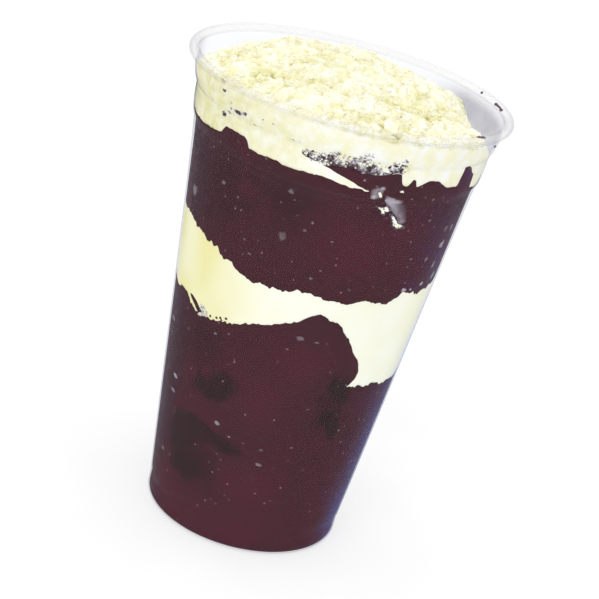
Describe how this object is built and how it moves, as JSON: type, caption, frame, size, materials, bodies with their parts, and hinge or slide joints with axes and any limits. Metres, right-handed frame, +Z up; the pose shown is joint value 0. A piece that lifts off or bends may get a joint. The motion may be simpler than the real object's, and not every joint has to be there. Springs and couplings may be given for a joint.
{
  "type": "acai cup",
  "caption": "Clear disposable cup filled with acai, a layer of sweet cream, more acai and a crumbly heap of milk powder.",
  "frame": {"origin": "middle of the foot, on the surface that the cup stands on", "axes": "+Z up along the cup's axis; -Y towards the shown side of the picture; +X to its right"},
  "size_m": [0.095, 0.095, 0.147],
  "materials": {
    "clear_plastic": "clear thermoformed plastic, slightly hazy, glossy",
    "acai": "smooth dark purple-brown pulp, wet against the wall, with small pale bubbles",
    "sweet_cream": "smooth pale cream",
    "milk_powder": "dry, crumbly pale yellow milk powder"
  },
  "bodies": {
    "root": {"cup": "clear_plastic", "acai_lower": "acai", "cream_layer": "sweet_cream", "acai_upper": "acai", "milk_powder": "milk_powder"}
  },
  "joints": []
}
